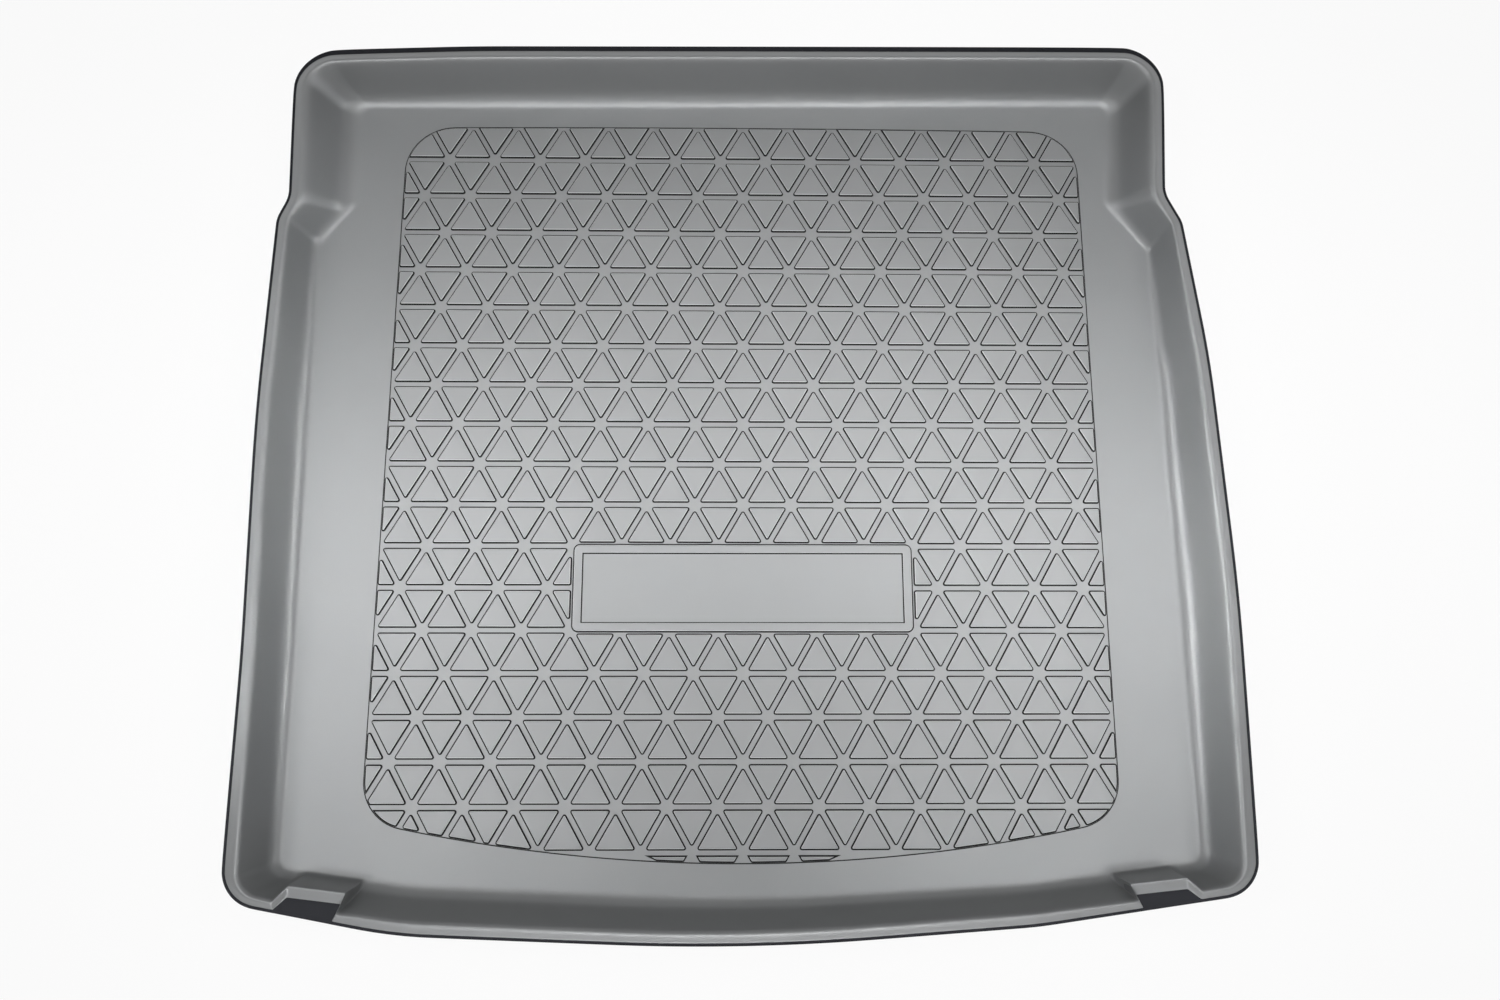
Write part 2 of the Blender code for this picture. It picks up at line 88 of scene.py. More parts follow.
# Rounding of the lip at its crest: share of the lip's width, and drop
LIP_ROUND_RUN = 0.25
LIP_ROUND_DROP = 0.8 * MM

# Wall section from crest to foot: share of the run, share of the drop. The floor goes on
# level for a margin inside the foot
WALL_SECTION = (
    (0.07, 0.026),
    (0.14, 0.085),
    (0.35, 0.4325),
    (0.56, 0.78),
    (0.69, 0.90),
    (0.84, 0.972),
    (1.0, 1.0),
)
FLOOR_MARGIN = 5 * MM

# Rim outline: how far its corners lie inside the overall box
FRONT_CORNER_RADIUS = 38 * MM
FRONT_RIGHT_INSET = 5.3 * MM
FRONT_RIGHT_RISE = 49 * MM
FRONT_LEFT_INSET = 8.5 * MM
FRONT_LEFT_RISE = 43.5 * MM
FRONT_BEND_RIGHT = 218 * MM
FRONT_BEND_RIGHT_RISE = 19.4 * MM
FRONT_BEND_LEFT = 171 * MM
FRONT_BEND_LEFT_RISE = 13.2 * MM
FRONT_BEND_RADIUS = 500 * MM
BACK_CORNER_RADIUS = 48 * MM
BACK_RIGHT_INSET = 28 * MM
BACK_LEFT_INSET = 6 * MM
BACK_LEFT_DROP = 13.3 * MM
BACK_BEND_LEFT = 204 * MM
BACK_BEND_DROP = 5.9 * MM
NECK_RIGHT_INSET = 40.5 * MM
NECK_RIGHT_LENGTH = 176 * MM
NECK_LEFT_INSET = 14 * MM
NECK_LEFT_LENGTH = 186.5 * MM
SHOULDER_RADIUS = 36 * MM
SHOULDER_RIGHT_INSET = 24.5 * MM
SHOULDER_RIGHT_RUN = 33 * MM
SHOULDER_LEFT_INSET = 3.2 * MM
SHOULDER_LEFT_RUN = 25 * MM
KNEE_RIGHT_INSET = 8 * MM
KNEE_RIGHT_DEPTH = 362.5 * MM
KNEE_RADIUS = 1200 * MM
BELLY_RIGHT_DEPTH = 609.5 * MM
BELLY_LEFT_DEPTH = 427.5 * MM
WAIST_LEFT_INSET = 7.6 * MM
WAIST_LEFT_DEPTH = 667.5 * MM
BOW_RADIUS = 2400 * MM

# Foot of the wall: how far each corner lies from the rim's corner, towards the middle of
# the mat and towards the back
FOOT_RADIUS = 15 * MM
FOOT_OFFSETS = {
    "front right": (38 * MM, 26 * MM),
    "belly right": (46 * MM, 0.0),
    "knee right": (38.5 * MM, 0.0),
    "shoulder right": (23 * MM, -13 * MM),
    "neck right": (52 * MM, 11 * MM),
    "back right": (51 * MM, -46 * MM),
    "back bend": (0.0, -48.5 * MM),
    "back left": (61 * MM, -41.5 * MM),
    "neck left": (56.5 * MM, 13.5 * MM),
    "shoulder left": (31 * MM, -5 * MM),
    "belly left": (40 * MM, 0.0),
    "waist left": (36.5 * MM, 0.0),
    "front left": (37 * MM, 27.5 * MM),
    "bend left": (0.0, 40.8 * MM),
    "front middle": (0.0, 39.5 * MM),
    "bend right": (0.0, 34 * MM),
}

# Notches in the front rim: distance of the outer end from the side, and two depths
LEFT_NOTCH = (59 * MM, 27 * MM, 30.5 * MM)
RIGHT_NOTCH = (63 * MM, 24.5 * MM, 26.5 * MM)
NOTCH_MOUTH = 60 * MM
NOTCH_SLANT = 14.5 * MM
NOTCH_BACK = 53.5 * MM
NOTCH_BACK_LIP = 10.5 * MM
NOTCH_SIDE_LIP = 5 * MM
NOTCH_FOOT_SWELL = 0.5 * MM

# Points beside a notch's corners keep them tight: their distance, and the share of a side
# that it may be at most
NOTCH_ROUNDING = 2.4 * MM
ROUNDING_SHARE = 0.3

# Stud panel on the floor
PANEL_SIDE_MARGIN = 120 * MM
PANEL_SHIFT = 1 * MM
PANEL_FRONT_MARGIN = 73 * MM
PANEL_BACK_MARGIN = 76.5 * MM
PANEL_FRONT_BOW = 1700 * MM
PANEL_BACK_BOW = 30000 * MM
PANEL_FRONT_CORNER = 48 * MM
PANEL_BACK_CORNER = 54 * MM
PANEL_STEP = 0.7 * MM
PANEL_STEP_RUN = 1.2 * MM

# Triangular studs in rows, with grooves between them and a gap to the panel's step
STUD_PITCH = 50 * MM
STUD_ROW = 43.475 * MM
STUD_HEIGHT = 2.0 * MM
STUD_CORNER = 2.2 * MM
GROOVE = 4.5 * MM
EDGE_GAP = 0.15 * MM
FIRST_ROW = 10.8 * MM

# Of the studs that are cut, slimmer ones are left out. Between its corner arcs a side
# keeps a short straight part, and a corner that turns less than this stays as it is
SLIMMEST_STUD = 2.5 * MM
STRAIGHT_PART = 0.5 * MM
SLIGHT_TURN = math.radians(8)

# Section of a stud from its foot to its top, as pairs of run and rise in millimetres.
# The rises add up to the stud's height
STUD_SECTION = ((0.5, 0.15), (0.95, 1.4), (0.2, 0.33), (0.3, 0.12))

# A face counts as level when the upright part of its normal is at least this. A tilted face
# gets the pale painted highlight when it lies no further than this below the studs' tops,
# and the near-black painted shade when it lies lower
LEVEL_TILT = 0.99
PAINTED_HIGHLIGHT_DEPTH = 0.5 * MM

# Section of the plate field's edge from the frame's top down to the panel, as pairs of
# run and drop in millimetres
FIELD_SECTION = ((0.3, 0.15), (1.1, 1.85))

# Framed plate field among the studs, centred on one of their rows
PLATE_ROW = 6
PLATE_WIDTH = 349 * MM
PLATE_HEIGHT = 91.5 * MM
PLATE_FRAME = 9.2 * MM
PLATE_CORNER = 7 * MM
PLATE_GAP = 0.9 * MM

# No arc takes more than this share of a side of its outline
ARC_SHARE = 0.45

# Steps in each arc
CORNER_STEPS = 7
SHOULDER_STEPS = 5
BOW_STEPS = 8
PANEL_CORNER_STEPS = 14
PANEL_BOW_STEPS = 40
PLATE_CORNER_STEPS = 7
STUD_CORNER_STEPS = 3

# Points closer than this count as one, and heights closer than this as one level
SAME_POINT = 1e-9
LEVEL_SLACK = 0.01 * MM

# Place of the crest among the rings of the upper side
CREST_RING = 3

# Height between the tray's rings while they are bridged
RING_STEP = 100 * MM

# How the bridged tray is smoothed: rounds of subdivision, and how sharp the hem stays at
# its lower edge, at its upper edge and where the lip starts, from 0 to 1
SMOOTHING = 2
HEM_CREASES = (0.8, 0.95, 0.45)

# Faces that meet at more than this angle keep a sharp edge
SHARP_ANGLE = math.radians(40)

# Camera, from the photograph's perspective: place, turn in degrees, focal length and
# width of the picture in pixels, and width of the sensor in millimetres
CAMERA_PLACE = (-0.01219, -0.31002, 1.21644)
CAMERA_TURN = (12.77, -0.957, -0.077)
FOCAL_PIXELS = 1194
PHOTO_WIDTH = 1500
SENSOR = 36.0

# Studio lamps: name, place, aim, size, spread in degrees and power in watts
SOFT_BOXES = (
    ("overhead", (0.0, -0.3, 2.0), (0.0, 0.0, 0.0), (1.0, 0.5), 50, 0.08),
    ("high left", (-1.5, -0.1, 1.8), (0.0, -0.1, 0.0), (1.4, 0.8), 180, 9.0),
    ("high right", (1.5, -0.1, 1.8), (0.0, -0.1, 0.0), (1.4, 0.8), 180, 6.5),
    ("front left", (-0.7, -0.85, 2.0), (-0.4, -0.1, 0.0), (0.4, 0.4), 45, 0.58),
    ("front right", (0.7, -0.85, 2.0), (0.4, -0.1, 0.0), (0.4, 0.4), 45, 0.70),
    ("side left", (-0.9, 0.1, 2.0), (-0.38, 0.05, 0.0), (0.3, 0.5), 28, 0.22),
    ("side right", (0.9, 0.1, 2.0), (0.38, 0.05, 0.0), (0.3, 0.5), 28, 0.21),
    ("back left", (-0.3, 0.3, 2.0), (-0.25, 0.3, 0.0), (0.5, 0.4), 40, 0.38),
    ("back right", (0.3, 0.3, 2.0), (0.25, 0.3, 0.0), (0.5, 0.4), 40, 0.50),
    ("low left", (-1.6, -0.04, 0.5), (0.47, -0.04, 0.03), (0.5, 0.3), 16, 0.27),
    ("low right", (1.6, 0.04, 0.5), (-0.47, 0.04, 0.03), (0.5, 0.3), 16, 0.23),
    ("low front", (0.0, -1.8, 0.9), (0.0, -0.47, 0.05), (1.2, 0.3), 24, 0.5),
)

# Surround: its strength, and how far a ray may point upwards to show the white wall,
# which fades out above that
SURROUND = 0.27
WALL_TOP = 0.04
WALL_FADE = 0.2
WHITE = (1.0, 1.0, 1.0, 1.0)

# Floor: its size, how far it lies below the mat, its tone and roughness, and the share of
# even white that the camera sees on it
STUDIO_SIZE = 12.0
FLOOR_CLEARANCE = 0.4 * MM
FLOOR_TONE = (0.86, 0.86, 0.86, 1.0)
FLOOR_ROUGHNESS = 0.9
FLOOR_GLOW = 0.9

# Finishes by their place in the skin's list of materials
UPPER_SIDE, HEM_PAINTED_SHADE, UNDERSIDE, FLANK_PAINTED_SHADE, EDGE_PAINTED_HIGHLIGHT = range(5)

# The same finishes: name, darker tone, lighter tone, least and greatest roughness, and
# depth of the grain
FINISH_LOOKS = (
    ("moulded grey", (0.285, 0.292, 0.296), (0.315, 0.322, 0.326), (0.40, 0.50), 0.06 * MM),
    # Near-black painted shade on the hem's edge and top and on the notch ledges, which are the same
    # rubber as the rest
    ("hem painted shade", (0.012, 0.013, 0.017), (0.02, 0.021, 0.026), (0.45, 0.6), 0.04 * MM),
    ("matt underside", (0.20, 0.205, 0.21), (0.24, 0.245, 0.25), (0.6, 0.7), 0.09 * MM),
    # Near-black painted shade on the low sides of the studs, the plate field and the panel step
    ("flank painted shade", (0.012, 0.012, 0.013), (0.018, 0.018, 0.019), (0.6, 0.7), 0.03 * MM),
    # Pale painted highlight on the tilted faces along the tops of the studs and the plate frame
    ("edge painted highlight", (0.56, 0.57, 0.575), (0.60, 0.61, 0.615), (0.40, 0.50), 0.02 * MM),
)

# Share of the directional satin sheen in each finish
SATIN = 0.6

# Grain of the rubber: rounded pebbles with a finer fuzz between them, and slow mottles.
# Each pattern's scale is a count per metre
PEBBLE_SCALE = 700.0
PEBBLE_SOFTNESS = 0.6
FUZZ_SCALE = 1900.0
FUZZ_DETAIL = 2.0
FUZZ_SHARE = 0.45
MOTTLE_SCALE = 14.0
MOTTLE_DETAIL = 4.0

# Places and levels that follow from the sizes
HALF_W = WIDTH / 2
FRONT = -DEPTH / 2
BACK = DEPTH / 2
HEM_Z = RIM_HEIGHT - HEM_DROP
FLOOR_Z = SHEET
PANEL_Z = FLOOR_Z + PANEL_STEP
STUD_Z = PANEL_Z + STUD_HEIGHT


def rim_nodes():
    """Corners of the rim outline, counter-clockwise from the front right:
    name, x, y, radius, steps."""
    right, left = HALF_W, -HALF_W
    neck_right_y = BACK - NECK_RIGHT_LENGTH
    neck_left_y = BACK - NECK_LEFT_LENGTH
    shoulder_right_y = neck_right_y - SHOULDER_RIGHT_RUN
    shoulder_left_y = neck_left_y - SHOULDER_LEFT_RUN
    front_radius, back_radius = FRONT_CORNER_RADIUS, BACK_CORNER_RADIUS
    shoulder, bend = SHOULDER_RADIUS, FRONT_BEND_RADIUS
    corner, turn, bow = CORNER_STEPS, SHOULDER_STEPS, BOW_STEPS
    return [
        ("front right", right - FRONT_RIGHT_INSET, FRONT + FRONT_RIGHT_RISE, front_radius, corner),
        ("belly right", right, BACK - BELLY_RIGHT_DEPTH, BOW_RADIUS, bow),
        ("knee right", right - KNEE_RIGHT_INSET, BACK - KNEE_RIGHT_DEPTH, KNEE_RADIUS, bow),
        ("shoulder right", right - SHOULDER_RIGHT_INSET, shoulder_right_y, shoulder, turn),
        ("neck right", right - NECK_RIGHT_INSET, neck_right_y, shoulder, turn),
        ("back right", right - BACK_RIGHT_INSET, BACK, back_radius, corner),
        ("back bend", left + BACK_BEND_LEFT, BACK - BACK_BEND_DROP, BOW_RADIUS, bow),
        ("back left", left + BACK_LEFT_INSET, BACK - BACK_LEFT_DROP, back_radius, corner),
        ("neck left", left + NECK_LEFT_INSET, neck_left_y, shoulder, turn),
        ("shoulder left", left + SHOULDER_LEFT_INSET, shoulder_left_y, shoulder, turn),
        ("belly left", left, BACK - BELLY_LEFT_DEPTH, BOW_RADIUS, bow),
        ("waist left", left + WAIST_LEFT_INSET, BACK - WAIST_LEFT_DEPTH, BOW_RADIUS, bow),
        ("front left", left + FRONT_LEFT_INSET, FRONT + FRONT_LEFT_RISE, front_radius, corner),
        ("bend left", left + FRONT_BEND_LEFT, FRONT + FRONT_BEND_LEFT_RISE, bend, bow),
        ("front middle", 0.0, FRONT, BOW_RADIUS, bow),
        ("bend right", right - FRONT_BEND_RIGHT, FRONT + FRONT_BEND_RIGHT_RISE, bend, bow),
    ]


def foot_nodes(rim):
    """Corners of the wall's foot, each set inwards from the rim corner it belongs to."""
    nodes = []
    for name, x, y, radius, steps in rim:
        inwards, backwards = FOOT_OFFSETS[name]
        foot_radius = radius if steps == BOW_STEPS else FOOT_RADIUS
        nodes.append((name, x - math.copysign(inwards, x), y + backwards, foot_radius, steps))
    return nodes


def offset_nodes(nodes, widths):
    """The same corners on an outline inside the first. Each corner has two widths for
    the strip between them: along the mat's side, and along its front or back."""
    moved = []
    count = len(nodes)
    for i, (name, x, y, radius, steps) in enumerate(nodes):
        here = Vector((x, y))
        before = (here - Vector(nodes[i - 1][1:3])).normalized()
        after = (Vector(nodes[(i + 1) % count][1:3]) - here).normalized()
        a, b = Vector((-before.y, before.x)), Vector((-after.y, after.x))
        width_a, width_b = (widths[name][abs(normal.x) < abs(normal.y)] for normal in (a, b))
        turn = a.cross(b)
        push = a * width_a
        if abs(turn) > SAME_POINT:
            push = Vector((width_a * b.y - width_b * a.y, width_b * a.x - width_a * b.x)) / turn
        inset = math.copysign((width_a + width_b) / 2, turn)
        moved.append((name, x + push.x, y + push.y, radius - inset, steps))
    return moved


def hem_widths():
    """Widths of the hem beside each corner, as for the lip."""
    return {name: (HEM_WIDTH, BACK_HEM_WIDTH if name.startswith("back") else HEM_WIDTH)
            for name in LIP_WIDTHS}


def rounded(nodes):
    """Points of an outline whose corners are arcs, with the same count for equal steps."""
    points = []
    count = len(nodes)
    for i, (name, x, y, radius, steps) in enumerate(nodes):
        here = Vector((x, y))
        to_last = Vector(nodes[i - 1][1:3]) - here
        to_next = Vector(nodes[(i + 1) % count][1:3]) - here
        heading = math.atan2(-to_last.y, -to_last.x)
        turn = math.atan2(-to_last.cross(to_next), -to_last.dot(to_next))
        bend = math.tan(abs(turn) / 2)
        run = min(radius * bend, ARC_SHARE * to_last.length, ARC_SHARE * to_next.length)
        arc_radius = math.copysign(run / bend, turn)
        start = here + to_last.normalized() * run
        centre = start + arc_radius * Vector((-math.sin(heading), math.cos(heading)))
        for k in range(steps + 1):
            angle = heading + turn * k / steps
            ray = Vector((math.sin(angle), -math.cos(angle)))
            points.append((name, centre + arc_radius * ray))
    return points


def on_line(nodes, first, second, x, inset=0.0):
    """The point at x on the straight line between two corners, moved back by inset."""
    place = {name: (px, py) for name, px, py, radius, steps in nodes}
    (xa, ya), (xb, yb) = place[first], place[second]
    return Vector((x, ya + (yb - ya) * (x - xa) / (xb - xa) + inset))


def notch_stations(side, rim, foot):
    """The four stations of one notch as [edge, hem, crest, foot] points, from its
    outer end to its inner end."""
    first, second = ("front left", "bend left") if side < 0 else ("bend right", "front right")
    from_side, outer_depth, inner_depth = LEFT_NOTCH if side < 0 else RIGHT_NOTCH
    outer = HALF_W - from_side
    back_outer = outer - NOTCH_SLANT
    back_inner = back_outer - NOTCH_BACK
    inner = outer - NOTCH_MOUTH
    lip = NOTCH_SIDE_LIP
    outer_ledge = outer_depth - NOTCH_BACK_LIP
    inner_ledge = inner_depth - NOTCH_BACK_LIP
    crest = NOTCH_LIP
    swell = NOTCH_FOOT_SWELL
    ring = []
    for crest_x, hem_x, edge_x, foot_x, crest_in, hem_in, foot_in in (
        (outer, outer, outer, outer - lip, crest, HEM_WIDTH, swell / 2),
        (back_outer, back_outer + lip / 2, back_outer, back_outer, outer_depth, outer_ledge, swell),
        (back_inner, back_inner + lip, inner + 2 * lip, back_inner, inner_depth, inner_ledge, swell),
        (inner, inner + lip, inner + lip, back_inner - lip, crest, HEM_WIDTH, swell / 2),
    ):
        ring.append([
            on_line(rim, first, second, side * edge_x),
            on_line(rim, first, second, side * hem_x, hem_in),
            on_line(rim, first, second, side * crest_x, crest_in),
            on_line(foot, first, second, side * foot_x, foot_in),
        ])
    return ring


def stations():
    """All stations around the rim, counter-clockwise, as edge, hem, crest and foot
    points, and the numbers of those that belong to a notch."""
    rim = rim_nodes()
    foot = foot_nodes(rim)
    hem = offset_nodes(rim, hem_widths())
    crest = offset_nodes(rim, LIP_WIDTHS)
    rows = list(zip(rounded(rim), rounded(hem), rounded(crest), rounded(foot)))
    ring, notch = [], []
    for i, row in enumerate(rows):
        name = row[0][0]
        following = rows[(i + 1) % len(rows)][0][0]
        ring.append([point for label, point in row])
        added = []
        if name == "front left" and following == "bend left":
            added = notch_stations(-1, rim, foot)
        if name == "bend right" and following == "front right":
            added = list(reversed(notch_stations(1, rim, foot)))
        notch.extend(range(len(ring), len(ring) + len(added)))
        ring.extend(added)
    return ring, notch


def top_rings(ring):
    """Rings of the mat's upper face, from the outer edge down to the floor."""
    wall = RIM_HEIGHT - FLOOR_Z
    lip_top = RIM_HEIGHT - LIP_ROUND_DROP
    levels = [
        [Vector((*edge, HEM_Z)) for edge, hem, crest, foot in ring],
        [Vector((*hem, HEM_Z)) for edge, hem, crest, foot in ring],
        [Vector((*crest.lerp(hem, LIP_ROUND_RUN), lip_top)) for edge, hem, crest, foot in ring],
        [Vector((*crest, RIM_HEIGHT)) for edge, hem, crest, foot in ring],
    ]
    for run, drop in WALL_SECTION:
        z = RIM_HEIGHT - wall * drop
        levels.append([Vector((*crest.lerp(foot, run), z)) for edge, hem, crest, foot in ring])
    foot = levels[-1]
    margin = []
    for i, point in enumerate(foot):
        along = (foot[(i + 1) % len(foot)] - foot[i - 1]).normalized()
        margin.append(point + FLOOR_MARGIN * Vector((-along.y, along.x, 0)))
    levels.append(margin)
    return levels


def under_rings(levels):
    """Rings of the underside, one sheet thickness below the upper face. The outer edge
    and the floor are set straight down, the rest square to the face."""
    below = []
    last = len(levels) - 1
    for k, level in enumerate(levels):
        ring = []
        for i, point in enumerate(level):
            along = level[(i + 1) % len(level)] - level[i - 1]
            inner = levels[min(k + 1, last)][i] - point
            outer = point - levels[max(k - 1, 0)][i]
            if k >= last - 1 or k == 0:
                normal = Vector((0, 0, 1))
            else:
                normal = along.cross(inner).normalized() + along.cross(outer).normalized()
                normal.normalize()
                normal = -normal if normal.z < 0 else normal
            ring.append(point - normal * SHEET)
        below.append(ring)
    return below


def with_supports(level, crest, notch):
    """A ring with two more points beside each notch corner, which keep it tight."""
    dense = []
    for i, point in enumerate(level):
        j = (i + 1) % len(level)
        dense.append(point)
        if i in notch or j in notch:
            share = min(NOTCH_ROUNDING / (crest[j] - crest[i]).length, ROUNDING_SHARE)
            dense.append(point.lerp(level[j], share))
            dense.append(point.lerp(level[j], 1 - share))
    return dense


def panel_outline(inset):
    """The panel's edge: straight sides, bowed front and back, four round corners."""
    half = HALF_W - PANEL_SIDE_MARGIN
    front = FRONT + PANEL_FRONT_MARGIN
    back = BACK - PANEL_BACK_MARGIN
    points = []
    bow = {
        -1: (PANEL_FRONT_BOW - inset, front + PANEL_FRONT_BOW, PANEL_FRONT_CORNER - inset),
        1: (PANEL_BACK_BOW - inset, back - PANEL_BACK_BOW, PANEL_BACK_CORNER - inset),
    }
    side_x = half - inset
    for end in (-1, 1):
        radius, centre_y, corner = bow[end]
        reach = math.sqrt((radius - corner) ** 2 - (side_x - corner) ** 2)
        corner_y = centre_y + end * reach
        lean = math.atan2(side_x - corner, reach)
        turn = math.pi / 2 - lean
        leans = [lean * (1 - 2 * k / PANEL_BOW_STEPS) for k in range(PANEL_BOW_STEPS + 1)]
        bow_arc = [(radius * math.sin(angle), centre_y + end * radius * math.cos(angle))
                   for angle in leans]
        corner_arc = [(side_x - corner + corner * math.cos(turn * k / PANEL_CORNER_STEPS),
                       corner_y + end * corner * math.sin(turn * k / PANEL_CORNER_STEPS))
                      for k in range(PANEL_CORNER_STEPS)]
        mirrored = [(-x, y) for x, y in reversed(corner_arc)]
        whole = corner_arc + bow_arc + mirrored
        points.extend(whole if end > 0 else reversed(whole))
    return [Vector((x + PANEL_SHIFT, y)) for x, y in points]


def clip(polygon, start, end):
    """The part of a convex polygon that lies left of the line from start to end."""
    along = (end - start).normalized()
    normal = Vector((-along.y, along.x))
    heights = [(point - start).dot(normal) for point in polygon]
    kept = []
    for i, point in enumerate(polygon):
        height, last_height = heights[i], heights[i - 1]
        if (height >= 0) != (last_height >= 0):
            kept.append(polygon[i - 1].lerp(point, last_height / (last_height - height)))
        if height >= 0:
            kept.append(point)
    return kept


def area(polygon):
    """Area of a counter-clockwise polygon. Fewer than three corners have none."""
    return sum(polygon[i - 1].cross(point) for i, point in enumerate(polygon)) / 2


def beyond_box(polygon, box):
    """The largest part of a convex polygon that lies beyond one side of a box."""
    return max((clip(polygon, box[i], box[i - 1]) for i in range(len(box))), key=area)


def inset_polygon(polygon, inset):
    """A convex polygon with every side moved inwards, corner for corner."""
    moved = []
    count = len(polygon)
    for i, here in enumerate(polygon):
        before = (here - polygon[i - 1]).normalized()
        after = (polygon[(i + 1) % count] - here).normalized()
        normal_a = Vector((-before.y, before.x))
        normal_b = Vector((-after.y, after.x))
        moved.append(here + (normal_a + normal_b) * (inset / (1 + normal_a.dot(normal_b))))
    return moved


def turn_at(polygon, i):
    """How far an outline turns at one of its points."""
    before = polygon[i] - polygon[i - 1]
    after = polygon[(i + 1) % len(polygon)] - polygon[i]
    return before.angle(after, 0.0)


def without_short_sides(polygon, radius):
    """A polygon whose sides have room for arcs of the radius at both ends. Of a shorter
    side's ends, the one where the outline turns less is left out."""
    kept = list(polygon)
    i = 0
    while len(kept) > 2 and i < len(kept):
        last = (i - 1) % len(kept)
        turn, last_turn = turn_at(kept, i), turn_at(kept, last)
        room = radius * (math.tan(turn / 2) + math.tan(last_turn / 2)) + STRAIGHT_PART
        if (kept[i] - kept[last]).length > room:
            i += 1
            continue
        kept.pop(i if turn < last_turn else last)
        i = 0
    return kept


def inner_radius(polygon):
    """Twice the area over the perimeter: about the radius of the widest circle inside."""
    perimeter = sum((point - polygon[i - 1]).length for i, point in enumerate(polygon))
    return 2 * area(polygon) / perimeter


def lattice_triangles():
    """The full triangles of the stud lattice, as far as the panel reaches."""
    half = HALF_W - PANEL_SIDE_MARGIN
    front = FRONT + PANEL_FRONT_MARGIN
    rows = math.ceil((BACK - PANEL_BACK_MARGIN - front) / STUD_ROW) + 1
    columns = math.ceil(half / STUD_PITCH) + 1
    across = Vector((STUD_PITCH, 0))
    for row in range(-1, rows):
        low = front + FIRST_ROW + row * STUD_ROW
        high = low + STUD_ROW
        low_shift = 0.5 * (row % 2)
        high_shift = 0.5 - low_shift
        for column in range(-columns, columns):
            near = Vector((PANEL_SHIFT + (column + low_shift) * STUD_PITCH, low))
            far = Vector((PANEL_SHIFT + (column + high_shift) * STUD_PITCH, high))
            yield [near, near + across, Vector((near.x + STUD_PITCH / 2, high))]
            yield [far + across, far, Vector((far.x + STUD_PITCH / 2, low))]


def plate_centre():
    """Middle of the plate field, on one of the lattice's rows."""
    return Vector((PANEL_SHIFT, FRONT + PANEL_FRONT_MARGIN + FIRST_ROW + PLATE_ROW * STUD_ROW))


def box_corners(half_x, half_y):
    """Corners of a rectangle around the plate's centre, counter-clockwise."""
    centre = plate_centre()
    signs = ((1, -1), (1, 1), (-1, 1), (-1, -1))
    return [centre + Vector((x * half_x, y * half_y)) for x, y in signs]


def softened(polygon, radius, steps):
    """A convex polygon with a small arc at each corner that turns and has room for it."""
    points = []
    for i, here in enumerate(polygon):
        to_last = polygon[i - 1] - here
        to_next = polygon[(i + 1) % len(polygon)] - here
        turn = math.pi - to_last.angle(to_next)
        run = radius * math.tan(turn / 2)
        if turn < SLIGHT_TURN or run > ARC_SHARE * min(to_last.length, to_next.length):
            points.append(here)
            continue
        start = here + to_last.normalized() * run
        heading = math.atan2(-to_last.y, -to_last.x)
        centre = start + radius * Vector((-math.sin(heading), math.cos(heading)))
        for k in range(steps + 1):
            angle = heading + turn * k / steps
            points.append(centre + radius * Vector((math.sin(angle), -math.cos(angle))))
    return points


def stud_bases():
    """Base outlines of all studs, cut by the panel's edge and by the plate's frame."""
    edge = panel_outline(PANEL_STEP_RUN + EDGE_GAP)
    plate = box_corners(PLATE_WIDTH / 2 + PLATE_GAP, PLATE_HEIGHT / 2 + PLATE_GAP)
    bases = []
    for triangle in lattice_triangles():
        stud = beyond_box(inset_polygon(triangle, GROOVE / 2), plate)
        for i, point in enumerate(edge):
            stud = clip(stud, edge[i - 1], point)
        stud = without_short_sides(stud, STUD_CORNER)
        if len(stud) > 2 and inner_radius(stud) > SLIMMEST_STUD:
            bases.append(softened(stud, STUD_CORNER, STUD_CORNER_STEPS))
    return bases


def deselect_all():
    """Leave edit mode and select nothing."""
    if bpy.context.mode != "OBJECT":
        bpy.ops.object.mode_set(mode="OBJECT")
    bpy.ops.object.select_all(action="DESELECT")


def new_piece(name, points, edges, faces):
    """A mesh object from drawn points, selected and active, with the mat's finishes."""
    deselect_all()
    data = bpy.data.meshes.new(name)
    data.from_pydata([tuple(point) for point in points], edges, faces)
    for finish in FINISHES:
        data.materials.append(finish)
    piece = bpy.data.objects.new(name, data)
    bpy.context.scene.collection.objects.link(piece)
    piece.select_set(True)
    bpy.context.view_layer.objects.active = piece
    return piece


def select_vertices(piece, wanted):
    """In edit mode, select exactly the vertices for which wanted is true, and what
    lies between them."""
    bpy.ops.mesh.select_mode(type="VERT")
    bpy.ops.mesh.select_all(action="DESELECT")
    bpy.ops.object.mode_set(mode="OBJECT")
    for vertex in piece.data.vertices:
        vertex.select = wanted(vertex)
    bpy.ops.object.mode_set(mode="EDIT")


def select_faces(piece, wanted):
    """In edit mode, select exactly the faces for which wanted is true."""
    bpy.ops.mesh.select_mode(type="FACE")
    bpy.ops.mesh.select_all(action="DESELECT")
    bpy.ops.object.mode_set(mode="OBJECT")
    for face in piece.data.polygons:
        face.select = wanted(face)
    bpy.ops.object.mode_set(mode="EDIT")


def crease_ring(piece, number, count, weight):
    """Crease the edges of one ring."""
    crease = piece.data.attributes.get("crease_edge")
    if crease is None:
        crease = piece.data.attributes.new("crease_edge", "FLOAT", "EDGE")
    first = number * count
    for edge in piece.data.edges:
        a, b = edge.vertices
        if first <= a < first + count and first <= b < first + count:
            crease.data[edge.index].value = weight


def band_finish(band, trimmed):
    """Finish of the faces between one ring and the next. The trimmed hem has two such
    bands, its edge and its top."""
    # The hem's edge and top, and with them the notch ledges, get the near-black painted shade
    if band > trimmed + 1:
        return UPPER_SIDE
    return HEM_PAINTED_SHADE if band >= trimmed else UNDERSIDE


